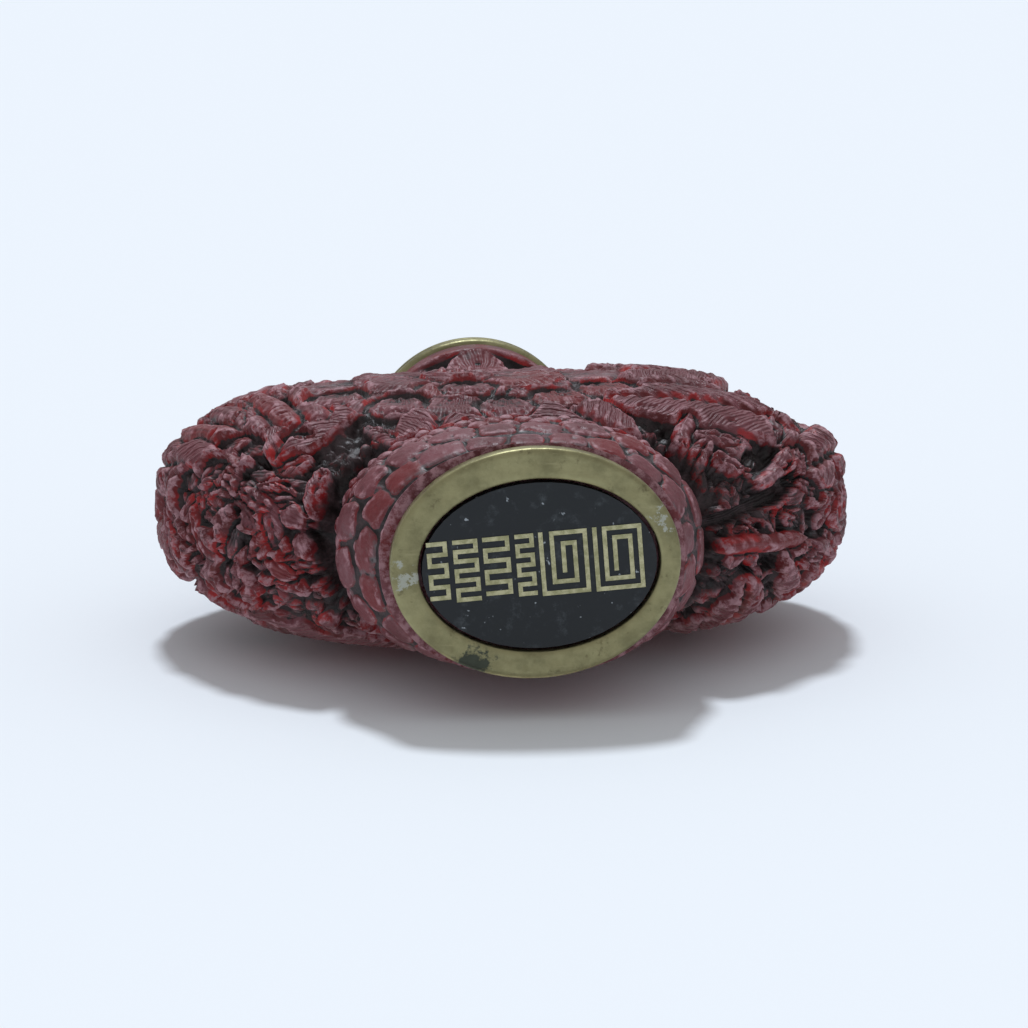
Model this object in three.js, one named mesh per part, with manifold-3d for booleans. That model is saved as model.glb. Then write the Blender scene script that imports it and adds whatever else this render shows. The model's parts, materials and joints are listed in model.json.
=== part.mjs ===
// A carved lacquer snuff bottle: a flattened round flask on a flared oval foot, with a short neck and a
// domed stopper. Millimetres, +Z up along the bottle, the front face towards -Y, the origin under the
// middle of the foot. The flask is hollow, and its carving is worked out from a few kinds of motif.
import * as THREE from 'three';
import { mergeVertices } from 'three/addons/utils/BufferGeometryUtils.js';
import { SimplifyModifier } from 'three/addons/modifiers/SimplifyModifier.js';
import Module from 'manifold-3d';

const wasm = await Module();
wasm.setup();

// ---- Driving dimensions ----

const GAP = 0.3; // between pieces that touch

// The flask's envelope, which the highest carving reaches.
const FLASK = {
  halfWidth: 31.4, widthMidZ: 32.9, widthDown: 28.9, widthUp: 24.8, widthCurve: 0.58,
  halfDepth: 12.4, depthMidZ: 30.4, depthDown: 24.5, depthUp: 26, depthCurve: 0.5,
  power: 2.7,
};
// The foot flares from its oval underside, a little more to the left, and ends in a ledge.
const FOOT = {
  halfWidth: 12.2, halfDepth: 9.6,
  flareHalfWidth: 15.7, flareHalfDepth: 10.7, flareTopZ: 9, flareLean: 0.5,
  ledgeZ: 13.5, endZ: 17, power: 2.2,
};
const NECK = {
  radius: 8.9, lipRadius: 10.1, beginZ: 40, fullZ: 52, lipZ: 61.5, lipHeight: 3, topZ: 64, boreRadius: 4.5,
  bareFromZ: 49, bareToZ: 55.6,
};
const BLEND = 1.6; // how softly flask, foot and neck run into each other

const RIM = {
  height: 1.8, bevel: 0.25, halfWidth: 12, halfDepth: 9.6, turn: THREE.MathUtils.degToRad(-2.35),
  windowHalfWidth: 10, windowHalfDepth: 7.2, windowX: 0.3, windowY: 0.15,
};
const PLATE = { recess: 0.2, thickness: 1.3 };
const COLLAR = { height: 2.6, radius: 10.5, edge: 0.5 };
const CAP = { height: 9.6, radius: 9, petals: 8, petalRise: 0.9, rows: 7, sides: 40 };
const PLUG = { topRadius: 4.2, endRadius: 3.9, length: 8.8 };

// The hollow inside: a smaller lens that opens into the neck's bore.
const HOLLOW = { halfWidth: 24.5, halfDepth: 6.5, midZ: 30, halfHeight: 22.5, power: 2.5, sides: 28, rows: 10 };

const RELIEF = 2.6; // from the ground between the motifs up to the envelope
const FOOT_RELIEF = 1.2;
const MOAT = { width: 1.3, fade: 1.7, extra: 0.8 }; // bare and deeper ground round the foot
const NECK_RELIEF = 1.3;
const COLUMNS = 280; // of the fine surface, which is then simplified
const ROWS = 150;
const FLASK_CORNERS = 3480; // left after simplifying
const ROW_SLOPE = 0.45; // how much closer the rows lie where the outline slopes
const LEDGE_ROWS = 5; // and round the foot's ledge

const COLOURS = {
  lacquer: new THREE.MeshStandardMaterial({ color: 0x7a2e33, roughness: 0.5, metalness: 0 }),
  brass: new THREE.MeshStandardMaterial({ color: 0x77724f, roughness: 0.45, metalness: 0.8 }),
  black: new THREE.MeshStandardMaterial({ color: 0x23272a, roughness: 0.35, metalness: 0 }),
  cork: new THREE.MeshStandardMaterial({ color: 0xa07a50, roughness: 0.9, metalness: 0 }),
};

const FOOT_Z = RIM.height + GAP;
const COLLAR_Z = NECK.topZ + GAP;
const CAP_Z = COLLAR_Z + COLLAR.height + GAP;

// ---- Small helpers ----

const { clamp, smoothstep, lerp } = THREE.MathUtils;

function smoothMax(a, b, blend) {
  const share = Math.max(blend - Math.abs(a - b), 0) / blend;
  return Math.max(a, b) + share * share * blend / 4;
}

// The radius of a superellipse in the direction of an angle.
function superRadius(angle, halfX, halfY, power) {
  const x = Math.abs(Math.cos(angle)) / halfX;
  const y = Math.abs(Math.sin(angle)) / halfY;
  return (x ** power + y ** power) ** (-1 / power);
}

// Values of t from start to end whose points on curve(t) lie at even distances.
function evenSteps(curve, start, end, count) {
  const fine = 720;
  const lengths = [0];
  let last = curve(start);
  for (let i = 1; i <= fine; i++) {
    const next = curve(lerp(start, end, i / fine));
    lengths.push(lengths[i - 1] + Math.hypot(next[0] - last[0], next[1] - last[1]));
    last = next;
  }
  const steps = [];
  let i = 0;
  for (let k = 0; k <= count; k++) {
    const target = lengths[fine] * k / count;
    while (i < fine - 1 && lengths[i + 1] < target) i++;
    const share = (target - lengths[i]) / (lengths[i + 1] - lengths[i]);
    steps.push(lerp(start, end, (i + share) / fine));
  }
  return steps;
}

// ---- The envelope of flask, foot and neck ----

function lens(z, half, middle, down, up, curve) {
  const t = (z - middle) / (z < middle ? down : up);
  return half * Math.max(1 - t * t, 1e-4) ** curve;
}

function flaskHalves(z) {
  return [
    lens(z, FLASK.halfWidth, FLASK.widthMidZ, FLASK.widthDown, FLASK.widthUp, FLASK.widthCurve),
    lens(z, FLASK.halfDepth, FLASK.depthMidZ, FLASK.depthDown, FLASK.depthUp, FLASK.depthCurve),
  ];
}

function footRadius(angle, z) {
  const flare = smoothstep(z, 0, FOOT.flareTopZ);
  const share = Math.max(1 - smoothstep(z, FOOT.ledgeZ, FOOT.endZ), 0.01);
  const lean = FOOT.flareLean * Math.cos(angle);
  const halfX = lerp(FOOT.halfWidth, FOOT.flareHalfWidth - lean, flare);
  const halfY = lerp(FOOT.halfDepth, FOOT.flareHalfDepth, flare);
  return share * superRadius(angle, halfX, halfY, FOOT.power);
}

function neckRadius(z) {
  const begun = smoothstep(z, NECK.beginZ, NECK.fullZ);
  const lip = smoothstep(z, NECK.lipZ - NECK.lipHeight, NECK.lipZ);
  return NECK.radius * begun + (NECK.lipRadius - NECK.radius) * lip;
}

function envelopeRadius(angle, z) {
  const flask = superRadius(angle, ...flaskHalves(z), FLASK.power);
  return smoothMax(smoothMax(flask, footRadius(angle, z), BLEND), Math.max(neckRadius(z), 0.1), BLEND);
}

function envelopePoint(angle, z) {
  const radius = envelopeRadius(angle, z);
  return new THREE.Vector3(radius * Math.cos(angle), radius * Math.sin(angle), z);
}

function envelopeNormal(angle, z) {
  const step = 0.02;
  const across = envelopePoint(angle + step, z).sub(envelopePoint(angle - step, z));
  const up = envelopePoint(angle, z + 0.2).sub(envelopePoint(angle, z - 0.2));
  return across.cross(up).normalize();
}

// ---- Motifs ----
// A motif lies on the envelope at a point. u runs along it from 0 to 1, v across it from -1 to 1, and
// each shape gives how far it covers a point and its height above the ground there.

function edge(inside, softness) {
  return smoothstep(inside, 0, softness);
}

const SHAPES = {
  // A full petal, hollowed a little, with a groove all round it.
  petal(u, v, m) {
    const q = Math.hypot(2 * u - 1, v);
    return [edge(1 - q, 0.2), m.level - 0.9 * q ** 5 - m.cup * (1 - q * q) - m.drop * (1 - u)];
  },
  // A pointed leaf with a sunk midrib.
  leaf(u, v, m) {
    const width = Math.sqrt(Math.max(4 * u * (1 - u), 0)) + 1e-6;
    const q = Math.abs(v) / width;
    return [edge(1 - q, 0.3), m.level - 0.9 * q ** 4 - 0.8 * Math.exp(-((v / 0.16) ** 2))];
  },
  // A long rounded ridge, as of a feather or a stem.
  ridge(u, v, m) {
    const width = Math.min(1, 3 * Math.sqrt(Math.max(u * (1 - u), 0))) + 1e-6;
    const q = Math.abs(v) / width;
    return [edge(1 - q, 0.4), m.level - 1.2 * q * q];
  },
  // A cloud scroll: a thick curl round a hole.
  scroll(u, v, m) {
    const radius = Math.hypot(2 * u - 1, v);
    return [edge(1 - radius, 0.25), m.level * smoothstep(radius, 0.12, 0.45) - 0.5 * radius ** 4];
  },
  // A rounded block or plate of rock.
  block(u, v, m) {
    const q = ((2 * u - 1) ** 4 + v ** 4) ** 0.25;
    return [edge(1 - q, 0.25), m.level - 1.2 * q ** 4];
  },
};

const motifs = [];

// Adds a motif whose root is at (angle, z) on the envelope. turn is its direction in the surface in
// degrees, anticlockwise from the horizontal as seen from outside, and bend curves its far end aside.
function addMotif(shape, angle, z, turn, length, halfWidth, extra) {
  const normal = envelopeNormal(angle, z);
  const level = new THREE.Vector3(0, 0, 1).cross(normal).normalize();
  const up = normal.clone().cross(level);
  const direction = THREE.MathUtils.degToRad(turn);
  const along = level.clone().multiplyScalar(Math.cos(direction)).addScaledVector(up, Math.sin(direction));
  motifs.push({
    shape: SHAPES[shape], at: envelopePoint(angle, z), normal, along,
    across: normal.clone().cross(along), length, halfWidth, bend: 0, level: RELIEF, ...extra,
  });
}

// A motif on a broad face (the front is -1, the back 1), its root s to the right of the axis as seen
// from outside.
function onFace(face, shape, s, z, turn, length, halfWidth, extra) {
  const [halfX, halfY] = flaskHalves(z);
  const rest = Math.max(1 - Math.abs(s / halfX) ** FLASK.power, 0);
  const angle = Math.atan2(face * halfY * rest ** (1 / FLASK.power), -face * s);
  addMotif(shape, angle, z, turn, length, halfWidth, extra);
}

// A motif on a narrow side (the left is -1, the right 1), its root at depth y.
function onEdge(edgeSide, shape, y, z, turn, length, halfWidth, extra) {
  const [halfX, halfY] = flaskHalves(z);
  const rest = Math.max(1 - Math.abs(y / halfY) ** FLASK.power, 0);
  const angle = Math.atan2(y, edgeSide * halfX * rest ** (1 / FLASK.power));
  addMotif(shape, angle, z, turn, length, halfWidth, extra);
}

const FLOWER = {
  s: -4, z: 33,
  rings: [
    { petals: 8, root: 6.6, length: 9.4, halfWidth: 5.4, level: 2.5, cup: 0.5, drop: 0.9 },
    { petals: 6, root: 2.4, length: 8.2, halfWidth: 4.7, level: 2.6, cup: 0.5, drop: 0.7 },
    { petals: 1, root: -3.6, length: 7.2, halfWidth: 3.6, level: 2.6, cup: 0.7, drop: 0 },
  ],
};

// A many-petalled flower, its outer petals first, so that the inner ones overlap them.
function carveFlower(face) {
  FLOWER.rings.forEach((ring, k) => {
    for (let i = 0; i < ring.petals; i++) {
      const turn = 360 * (i + 0.5 * (k % 2)) / ring.petals;
      const direction = THREE.MathUtils.degToRad(turn);
      const s = FLOWER.s + ring.root * Math.cos(direction);
      const z = FLOWER.z + ring.root * Math.sin(direction);
      onFace(face, 'petal', s, z, turn, ring.length, ring.halfWidth,
        { level: ring.level, cup: ring.cup, drop: ring.drop });
    }
  });
}

// Leaves all round the flower, which overlaps their roots.
function carveWreath(face) {
  const leaves = 9;
  for (let i = 0; i < leaves; i++) {
    const turn = 20 + 360 * i / leaves;
    const direction = THREE.MathUtils.degToRad(turn);
    const s = FLOWER.s + 12.5 * Math.cos(direction);
    const z = FLOWER.z + 12.5 * Math.sin(direction);
    onFace(face, 'leaf', s, z, turn, 12, 4.4, { level: 2.5, bend: 0.3 });
  }
}

// A fan of curved ridges beside the flower, and broad leaves on its other side.
function carveFan(face) {
  const ridges = 5;
  for (let i = 0; i < ridges; i++) {
    onFace(face, 'ridge', -17 - 2.4 * i, 19 + 0.9 * i, 92 + 6 * i, 13, 1.6, { bend: 0.6 });
  }
}

function carveBroadLeaves(face) {
  onFace(face, 'leaf', 8, 21, 8, 18, 5.2, { bend: -0.3 });
  onFace(face, 'leaf', 9, 29, 40, 17, 4.8, { bend: 0.3 });
  onFace(face, 'leaf', 4, 45, 25, 15, 4, { bend: -0.4 });
}

// The narrow sides: leaves along both edges, with stems low on the right and scrolls low on the left.
function carveSides() {
  for (const side of [-1, 1]) {
    for (let i = 0; i < 4; i++) {
      const z = 46 - 9 * i;
      const lean = 12 * side;
      onEdge(side, 'leaf', -4.6, z, 90 - lean, 12, 3.6, {});
      onEdge(side, 'leaf', 4.6, z - 3, 90 + lean, 12, 3.6, {});
      onEdge(side, 'scroll', 0, z + 3, 90, 7, 3, {});
    }
  }
  for (let i = 0; i < 3; i++) {
    onEdge(1, 'leaf', 7 - 2.4 * i, 10 + 2.6 * i, 60, 11, 3, {});
    onEdge(1, 'ridge', -6.4 + 2.4 * i, 11 + 2.4 * i, 84, 9, 1.1, { level: 2.2 });
  }
  for (let i = 0; i < 3; i++) {
    onEdge(-1, 'scroll', 6 - 4.4 * i, 10.4 + 0.8 * i, 90, 6, 3, {});
    onEdge(-1, 'scroll', 4.4 - 4.6 * i, 15.4 + 0.8 * i, 90, 6.4, 3.2, {});
    onEdge(-1, 'scroll', 6.8 - 4.6 * i, 20.4 + 0.8 * i, 90, 6.4, 3.2, {});
  }
}

// The foot: broad plates of rock below, with a row of rounded blocks on the ledge above them.
function carveFoot() {
  const plates = 11;
  for (let i = 0; i < plates; i++) {
    const angle = 2 * Math.PI * i / plates;
    addMotif('block', angle, 3, 90, 6.6, 3.6, { level: 2.4 });
    addMotif('block', angle + Math.PI / plates, 9.2, 90, 5.2, 3.4, {});
  }
}

function carveNeck() {
  const lappets = 8;
  for (let i = 0; i < lappets; i++) {
    addMotif('petal', 2 * Math.PI * i / lappets, 56.3, 90, 5, 3.5, { cup: 0.6, drop: 0 });
  }
}

for (const face of [-1, 1]) {
  carveWreath(face);
  carveBroadLeaves(face);
  carveFan(face);
  carveFlower(face);
}
carveSides();
carveFoot();
carveNeck();

// How far the flask's envelope stands outside the foot's: below 0 on the foot itself.
function outsideFoot(angle, z) {
  const flask = superRadius(angle, ...flaskHalves(z), FLASK.power);
  return flask - footRadius(angle, z);
}

function moatAt(outside) {
  return smoothstep(outside, 0, 1) * (1 - smoothstep(outside, MOAT.width, MOAT.width + MOAT.fade));
}

// How deep the carving goes: less on the foot and the neck, more close round the foot.
function reliefAt(outside, z) {
  const flask = lerp(FOOT_RELIEF, RELIEF + MOAT.extra * moatAt(outside), smoothstep(outside, -0.2, 1));
  return lerp(flask, NECK_RELIEF, smoothstep(z, NECK.beginZ, NECK.fullZ));
}

// The height of the carving above its ground at a point of the envelope.
function carvedHeight(point, normal, outside) {
  let height = 0.25 + 0.2 * Math.sin(point.x * 1.3) * Math.sin(point.z * 1.1 + point.y);
  for (const m of motifs) {
    if (normal.dot(m.normal) < 0.3) continue;
    const away = point.clone().sub(m.at);
    const u = away.dot(m.along) / m.length;
    const v = away.dot(m.across) / m.halfWidth - m.bend * u * u;
    if (u < 0 || u > 1 || Math.abs(v) > 1) continue;
    const [cover, top] = m.shape(u, v, m);
    height = lerp(height, clamp(top, 0, RELIEF), cover);
  }
  height *= 1 - moatAt(outside);
  height *= 1 - smoothstep(point.z, NECK.bareFromZ, NECK.bareFromZ + 2)
    * (1 - smoothstep(point.z, NECK.bareToZ, NECK.bareToZ + 1));
  const plain = Math.max(1 - smoothstep(point.z, FOOT_Z, FOOT_Z + 0.8),
    smoothstep(point.z, NECK.lipZ - 1.5, NECK.lipZ));
  return lerp(height, RELIEF, plain);
}

// ---- Meshes ----

// A closed mesh through rings of equally many points, each anticlockwise as seen from above.
function loft(rings) {
  const count = rings[0].length;
  const positions = rings.flat().flatMap((p) => [p.x, p.y, p.z]);
  const index = [];
  for (let i = 0; i < rings.length - 1; i++) {
    for (let j = 0; j < count; j++) {
      const a = i * count + j;
      const b = i * count + (j + 1) % count;
      index.push(a, b, b + count, a, b + count, a + count);
    }
  }
  const ends = [[0, 1, 0], [rings.length - 1, 0, 1]];
  for (const [row, first, second] of ends) {
    const middle = new THREE.Vector3();
    rings[row].forEach((p) => middle.addScaledVector(p, 1 / count));
    const centre = positions.length / 3;
    positions.push(middle.x, middle.y, middle.z);
    for (let j = 0; j < count; j++) {
      index.push(centre, row * count + (j + first) % count, row * count + (j + second) % count);
    }
  }
  const geometry = new THREE.BufferGeometry();
  geometry.setAttribute('position', new THREE.Float32BufferAttribute(positions, 3));
  geometry.setIndex(index);
  return geometry;
}

function superRing(z, halfX, halfY, power, sides) {
  const ring = [];
  for (let i = 0; i < sides; i++) {
    const angle = 2 * Math.PI * i / sides;
    const radius = superRadius(angle, halfX, halfY, power);
    ring.push(new THREE.Vector3(radius * Math.cos(angle), radius * Math.sin(angle), z));
  }
  return ring;
}

function toManifold(geometry) {
  const bare = geometry.clone();
  bare.deleteAttribute('normal');
  bare.deleteAttribute('uv');
  const merged = mergeVertices(bare, 1e-5);
  return new wasm.Manifold(new wasm.Mesh({
    numProp: 3,
    vertProperties: new Float32Array(merged.attributes.position.array),
    triVerts: new Uint32Array(merged.index.array),
  }));
}

function fromManifold(solid) {
  const mesh = solid.getMesh();
  const geometry = new THREE.BufferGeometry();
  geometry.setAttribute('position', new THREE.BufferAttribute(mesh.vertProperties, 3));
  geometry.setIndex(new THREE.BufferAttribute(mesh.triVerts, 1));
  return geometry;
}

function carvedOutside() {
  const outline = (z) => [
    ROW_SLOPE * envelopeRadius(0, z) + LEDGE_ROWS * smoothstep(z, FOOT.flareTopZ, FOOT.endZ), z,
  ];
  const heights = evenSteps(outline, FOOT_Z, NECK.topZ, ROWS);
  const rings = heights.map((z) => {
    const round = (angle) => {
      const radius = envelopeRadius(angle, z);
      return [radius * Math.cos(angle), radius * Math.sin(angle)];
    };
    const angles = evenSteps(round, -Math.PI, Math.PI, COLUMNS).slice(0, COLUMNS);
    return angles.map((angle) => {
      const point = envelopePoint(angle, z);
      const normal = envelopeNormal(angle, z);
      const outside = outsideFoot(angle, z);
      const sunk = reliefAt(outside, z) * (1 - carvedHeight(point, normal, outside) / RELIEF);
      const carved = point.clone().addScaledVector(normal, -sunk);
      carved.z = clamp(carved.z, FOOT_Z, NECK.topZ);
      return carved;
    });
  });
  return loft(rings);
}

function hollow() {
  const { midZ, halfHeight, power, sides, rows } = HOLLOW;
  const end = Math.acos(NECK.boreRadius / HOLLOW.halfWidth);
  const rings = [];
  for (let i = 0; i <= rows; i++) {
    const t = lerp(-end, end, i / rows);
    const halfY = HOLLOW.halfDepth * Math.cos(t);
    const least = t > 0 ? NECK.boreRadius : 0;
    rings.push(superRing(midZ + halfHeight * Math.sin(t), HOLLOW.halfWidth * Math.cos(t),
      Math.max(halfY, least), power, sides));
  }
  rings.push(superRing(NECK.topZ + 1, NECK.boreRadius, NECK.boreRadius, 2, sides));
  return loft(rings);
}

async function flaskBody() {
  const fine = carvedOutside();
  const outside = await new SimplifyModifier().modify(fine, fine.attributes.position.count - FLASK_CORNERS);
  return fromManifold(toManifold(outside).subtract(toManifold(hollow())));
}

function footRim() {
  const oval = new THREE.Shape();
  const halfWidth = RIM.halfWidth - RIM.bevel;
  oval.absellipse(0, 0, halfWidth, RIM.halfDepth - RIM.bevel, 0, 2 * Math.PI, false, 0);
  const window = new THREE.Path();
  const windowHalfWidth = RIM.windowHalfWidth + RIM.bevel;
  const windowHalfDepth = RIM.windowHalfDepth + RIM.bevel;
  window.absellipse(RIM.windowX, RIM.windowY, windowHalfWidth, windowHalfDepth, 0, 2 * Math.PI, true, 0);
  oval.holes.push(window);
  const geometry = new THREE.ExtrudeGeometry(oval, {
    depth: RIM.height - 2 * RIM.bevel, curveSegments: 24,
    bevelThickness: RIM.bevel, bevelSize: RIM.bevel, bevelSegments: 1,
  });
  return geometry.translate(0, 0, RIM.bevel);
}

function basePlate() {
  const oval = new THREE.Shape();
  oval.absellipse(RIM.windowX, RIM.windowY, RIM.windowHalfWidth - GAP, RIM.windowHalfDepth - GAP,
    0, 2 * Math.PI, false, 0);
  return new THREE.ExtrudeGeometry(oval, { depth: PLATE.thickness, curveSegments: 24, bevelEnabled: false });
}

function mouthCollar() {
  const { radius, height, edge: rounding } = COLLAR;
  const profile = [
    new THREE.Vector2(NECK.boreRadius, 0),
    new THREE.Vector2(radius - rounding, 0),
    new THREE.Vector2(radius, rounding),
    new THREE.Vector2(radius, height - rounding),
    new THREE.Vector2(radius - rounding, height),
    new THREE.Vector2(NECK.boreRadius, height),
    new THREE.Vector2(NECK.boreRadius, 0),
  ];
  return new THREE.LatheGeometry(profile, 36).rotateX(Math.PI / 2);
}

// A dome with a ring of raised petals round it.
function stopperCap() {
  const { rows, sides } = CAP;
  const rings = [];
  for (let i = 0; i < rows; i++) {
    const share = i / rows;
    const z = CAP.height * Math.sin(share * Math.PI / 2);
    const ring = [];
    for (let j = 0; j < sides; j++) {
      const angle = 2 * Math.PI * j / sides;
      const petal = Math.abs(Math.cos(CAP.petals * angle / 2));
      const radius = CAP.radius * Math.cos(share * Math.PI / 2) ** 0.8;
      const sunk = CAP.petalRise * (1 - petal ** 0.6) * Math.sin(Math.PI * clamp(share * 1.3, 0, 1));
      ring.push(new THREE.Vector3((radius - sunk) * Math.cos(angle), (radius - sunk) * Math.sin(angle), z));
    }
    rings.push(ring);
  }
  return loft(rings);
}

function stopperPlug() {
  return new THREE.CylinderGeometry(PLUG.topRadius, PLUG.endRadius, PLUG.length, 24).rotateX(Math.PI / 2);
}

// ---- The bottle ----

function piece(name, geometry, material, x, y, z) {
  const mesh = new THREE.Mesh(geometry, material);
  mesh.name = name;
  mesh.position.set(x, y, z);
  return mesh;
}

const bottle = new THREE.Group();
bottle.add(piece('flask_body', await flaskBody(), COLOURS.lacquer, 0, 0, 0));

const underside = new THREE.Group();
underside.rotation.z = RIM.turn;
underside.add(piece('foot_rim', footRim(), COLOURS.brass, 0, 0, 0));
underside.add(piece('base_plate', basePlate(), COLOURS.black, 0, 0, PLATE.recess));
bottle.add(underside);

bottle.add(piece('mouth_collar', mouthCollar(), COLOURS.brass, 0, 0, COLLAR_Z));
bottle.add(piece('stopper_cap', stopperCap(), COLOURS.lacquer, 0, 0, CAP_Z));
bottle.add(piece('stopper_plug', stopperPlug(), COLOURS.cork, 0, 0, CAP_Z - GAP - PLUG.length / 2));

export default bottle;
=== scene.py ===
"""The looks of a carved red lacquer snuff bottle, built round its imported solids.

The carving is worked out as a height over a smooth envelope: motifs such as petals, leaves, ridges and
scrolls are laid on it one after another. Lengths in the carving code are millimetres in the row's frame.
"""

import json
import math

import bpy
import numpy as np
from mathutils import Matrix, Vector

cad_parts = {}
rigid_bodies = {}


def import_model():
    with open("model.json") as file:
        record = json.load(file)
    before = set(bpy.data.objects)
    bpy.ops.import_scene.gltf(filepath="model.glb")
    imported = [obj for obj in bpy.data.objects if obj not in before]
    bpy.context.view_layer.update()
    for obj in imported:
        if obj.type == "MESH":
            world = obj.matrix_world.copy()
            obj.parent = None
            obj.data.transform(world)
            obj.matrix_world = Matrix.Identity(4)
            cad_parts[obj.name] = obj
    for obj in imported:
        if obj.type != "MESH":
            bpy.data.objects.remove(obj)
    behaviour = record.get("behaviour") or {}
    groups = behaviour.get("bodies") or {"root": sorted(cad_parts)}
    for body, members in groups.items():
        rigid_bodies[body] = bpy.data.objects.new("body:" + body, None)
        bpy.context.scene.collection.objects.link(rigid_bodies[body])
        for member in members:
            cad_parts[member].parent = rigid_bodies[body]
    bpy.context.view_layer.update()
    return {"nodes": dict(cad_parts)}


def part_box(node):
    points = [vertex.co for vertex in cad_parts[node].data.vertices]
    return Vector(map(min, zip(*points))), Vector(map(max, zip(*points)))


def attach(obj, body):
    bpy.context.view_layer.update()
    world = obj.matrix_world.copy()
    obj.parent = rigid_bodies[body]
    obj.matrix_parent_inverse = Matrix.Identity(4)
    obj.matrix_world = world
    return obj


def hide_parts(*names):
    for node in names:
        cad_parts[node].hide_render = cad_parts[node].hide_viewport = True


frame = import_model()

MM = 0.001


def box_mm(node):
    low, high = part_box(node)
    return np.array(low) / MM, np.array(high) / MM


BODY_LOW, BODY_HIGH = box_mm("flask_body")
RIM_LOW, RIM_HIGH = box_mm("foot_rim")
PLATE_LOW = box_mm("base_plate")[0]
COLLAR_LOW, COLLAR_HIGH = box_mm("mouth_collar")
CAP_LOW, CAP_HIGH = box_mm("stopper_cap")

# ---- Driving sizes, in millimetres: the envelopes are those of the solids ----

FLASK = {
    "half_width": 31.4, "width_mid": 32.9, "width_down": 28.9, "width_up": 24.8, "width_curve": 0.58,
    "half_depth": 12.4, "depth_mid": 30.4, "depth_down": 24.5, "depth_up": 26, "depth_curve": 0.5,
    "power": 2.7, "low": 8, "high": 56.9,
}
FOOT = {
    "half_width": 12.2, "half_depth": 9.6, "flare_half_width": 15.7, "flare_half_depth": 10.7,
    "flare_top": 9, "flare_lean": 0.5, "ledge": 13.5, "end": 17, "power": 2.2,
}
NECK = {
    "radius": 8.9, "lip_radius": 10.1, "begin": 40, "full": 52, "lip": 61.5, "lip_height": 3,
    "top": BODY_HIGH[2], "bore": 4.5,
}
RELIEF = 2.6
FOOT_RELIEF = 1.2
NECK_RELIEF = 1.3
MOAT = {"width": 1.3, "fade": 1.7, "extra": 0.8}
RIM = {
    "turn": math.radians(-2.35), "half_width": 12, "half_depth": 9.6,
    "window_half_width": 10, "window_half_depth": 7.2, "window": (0.3, 0.15),
}

SEED = 7


# ---- Small numeric helpers ----


def smooth(x, low, high):
    t = np.clip((x - low) / (high - low), 0, 1)
    return t * t * (3 - 2 * t)


def lerp(a, b, share):
    return a + (b - a) * share


def smooth_max(a, b, blend):
    share = np.maximum(blend - np.abs(a - b), 0) / blend
    return np.maximum(a, b) + share * share * blend / 4


def super_radius(angle, half_x, half_y, power):
    x = np.abs(np.cos(angle)) / half_x
    y = np.abs(np.sin(angle)) / half_y
    return (x**power + y**power) ** (-1 / power)


def hashed(cells, seed):
    """A number from 0 to 1 for each row of whole numbers, always the same."""
    mixed = cells.astype(np.int64) @ np.array([374761393, 668265263, 2147483647]) + seed * 974634777
    mixed = (mixed ^ (mixed >> 13)) * 1274126177 & 0xFFFFFFFF
    return ((mixed ^ (mixed >> 16)) & 0xFFFFFF) / 0xFFFFFF


def value_noise(points, cell, seed=SEED):
    """Smooth noise from 0 to 1 over points, about cell millimetres from bump to bump."""
    place = points / cell
    corner = np.floor(place)
    share = place - corner
    share = share * share * (3 - 2 * share)
    total = np.zeros(len(points))
    for step in np.ndindex(2, 2, 2):
        offset = np.array(step)
        weight = np.prod(np.where(offset, share, 1 - share), axis=1)
        total += weight * hashed(corner + offset, seed)
    return total


def noise_vector(points, cell):
    return np.stack([value_noise(points, cell, SEED + 11 * k) for k in range(3)], axis=-1)


def cell_pattern(points, cell):
    """The distance to the nearest of many scattered points, in cells, and a number drawn for it."""
    place = points / cell
    corner = np.floor(place)
    nearest = np.full(len(points), 9.0)
    drawn = np.zeros(len(points))
    for step in np.ndindex(3, 3, 3):
        cells = corner + np.array(step) - 1
        spot = np.stack([cells[:, k] + hashed(cells, SEED + 3 * k) for k in range(3)], axis=-1)
        distance = np.linalg.norm(place - spot, axis=1)
        closer = distance < nearest
        nearest = np.where(closer, distance, nearest)
        drawn = np.where(closer, hashed(cells, SEED + 17), drawn)
    return nearest, drawn


# ---- Envelopes: each gives a radius for an angle round the bottle's axis and a height ----


def lens(z, half, middle, down, up, curve):
    t = (z - middle) / np.where(z < middle, down, up)
    return half * np.maximum(1 - t * t, 1e-4) ** curve


def flask_halves(z):
    f = FLASK
    return (
        lens(z, f["half_width"], f["width_mid"], f["width_down"], f["width_up"], f["width_curve"]),
        lens(z, f["half_depth"], f["depth_mid"], f["depth_down"], f["depth_up"], f["depth_curve"]),
    )


def neck_radius(z):
    begun = smooth(z, NECK["begin"], NECK["full"])
    lip = smooth(z, NECK["lip"] - NECK["lip_height"], NECK["lip"])
    return NECK["radius"] * begun + (NECK["lip_radius"] - NECK["radius"]) * lip


def flask_radius(angle, z):
    flask = super_radius(angle, *flask_halves(z), FLASK["power"])
    return smooth_max(flask, np.maximum(neck_radius(z) - 0.4, 0.1), 1.6)


def foot_radius(angle, z):
    flare = smooth(z, 0, FOOT["flare_top"])
    lean = FOOT["flare_lean"] * np.cos(angle)
    half_x = lerp(FOOT["half_width"], FOOT["flare_half_width"] - lean, flare)
    half_y = lerp(FOOT["half_depth"], FOOT["flare_half_depth"], flare)
    return super_radius(angle, half_x, half_y, FOOT["power"]) * foot_share(z)


def foot_share(z):
    return np.maximum(1 - smooth(z, FOOT["ledge"], FOOT["end"]), 0.01)


def envelope_points(radius, angle, z):
    r = radius(angle, z)
    return np.stack([r * np.cos(angle), r * np.sin(angle), z + 0 * angle], axis=-1)


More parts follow.
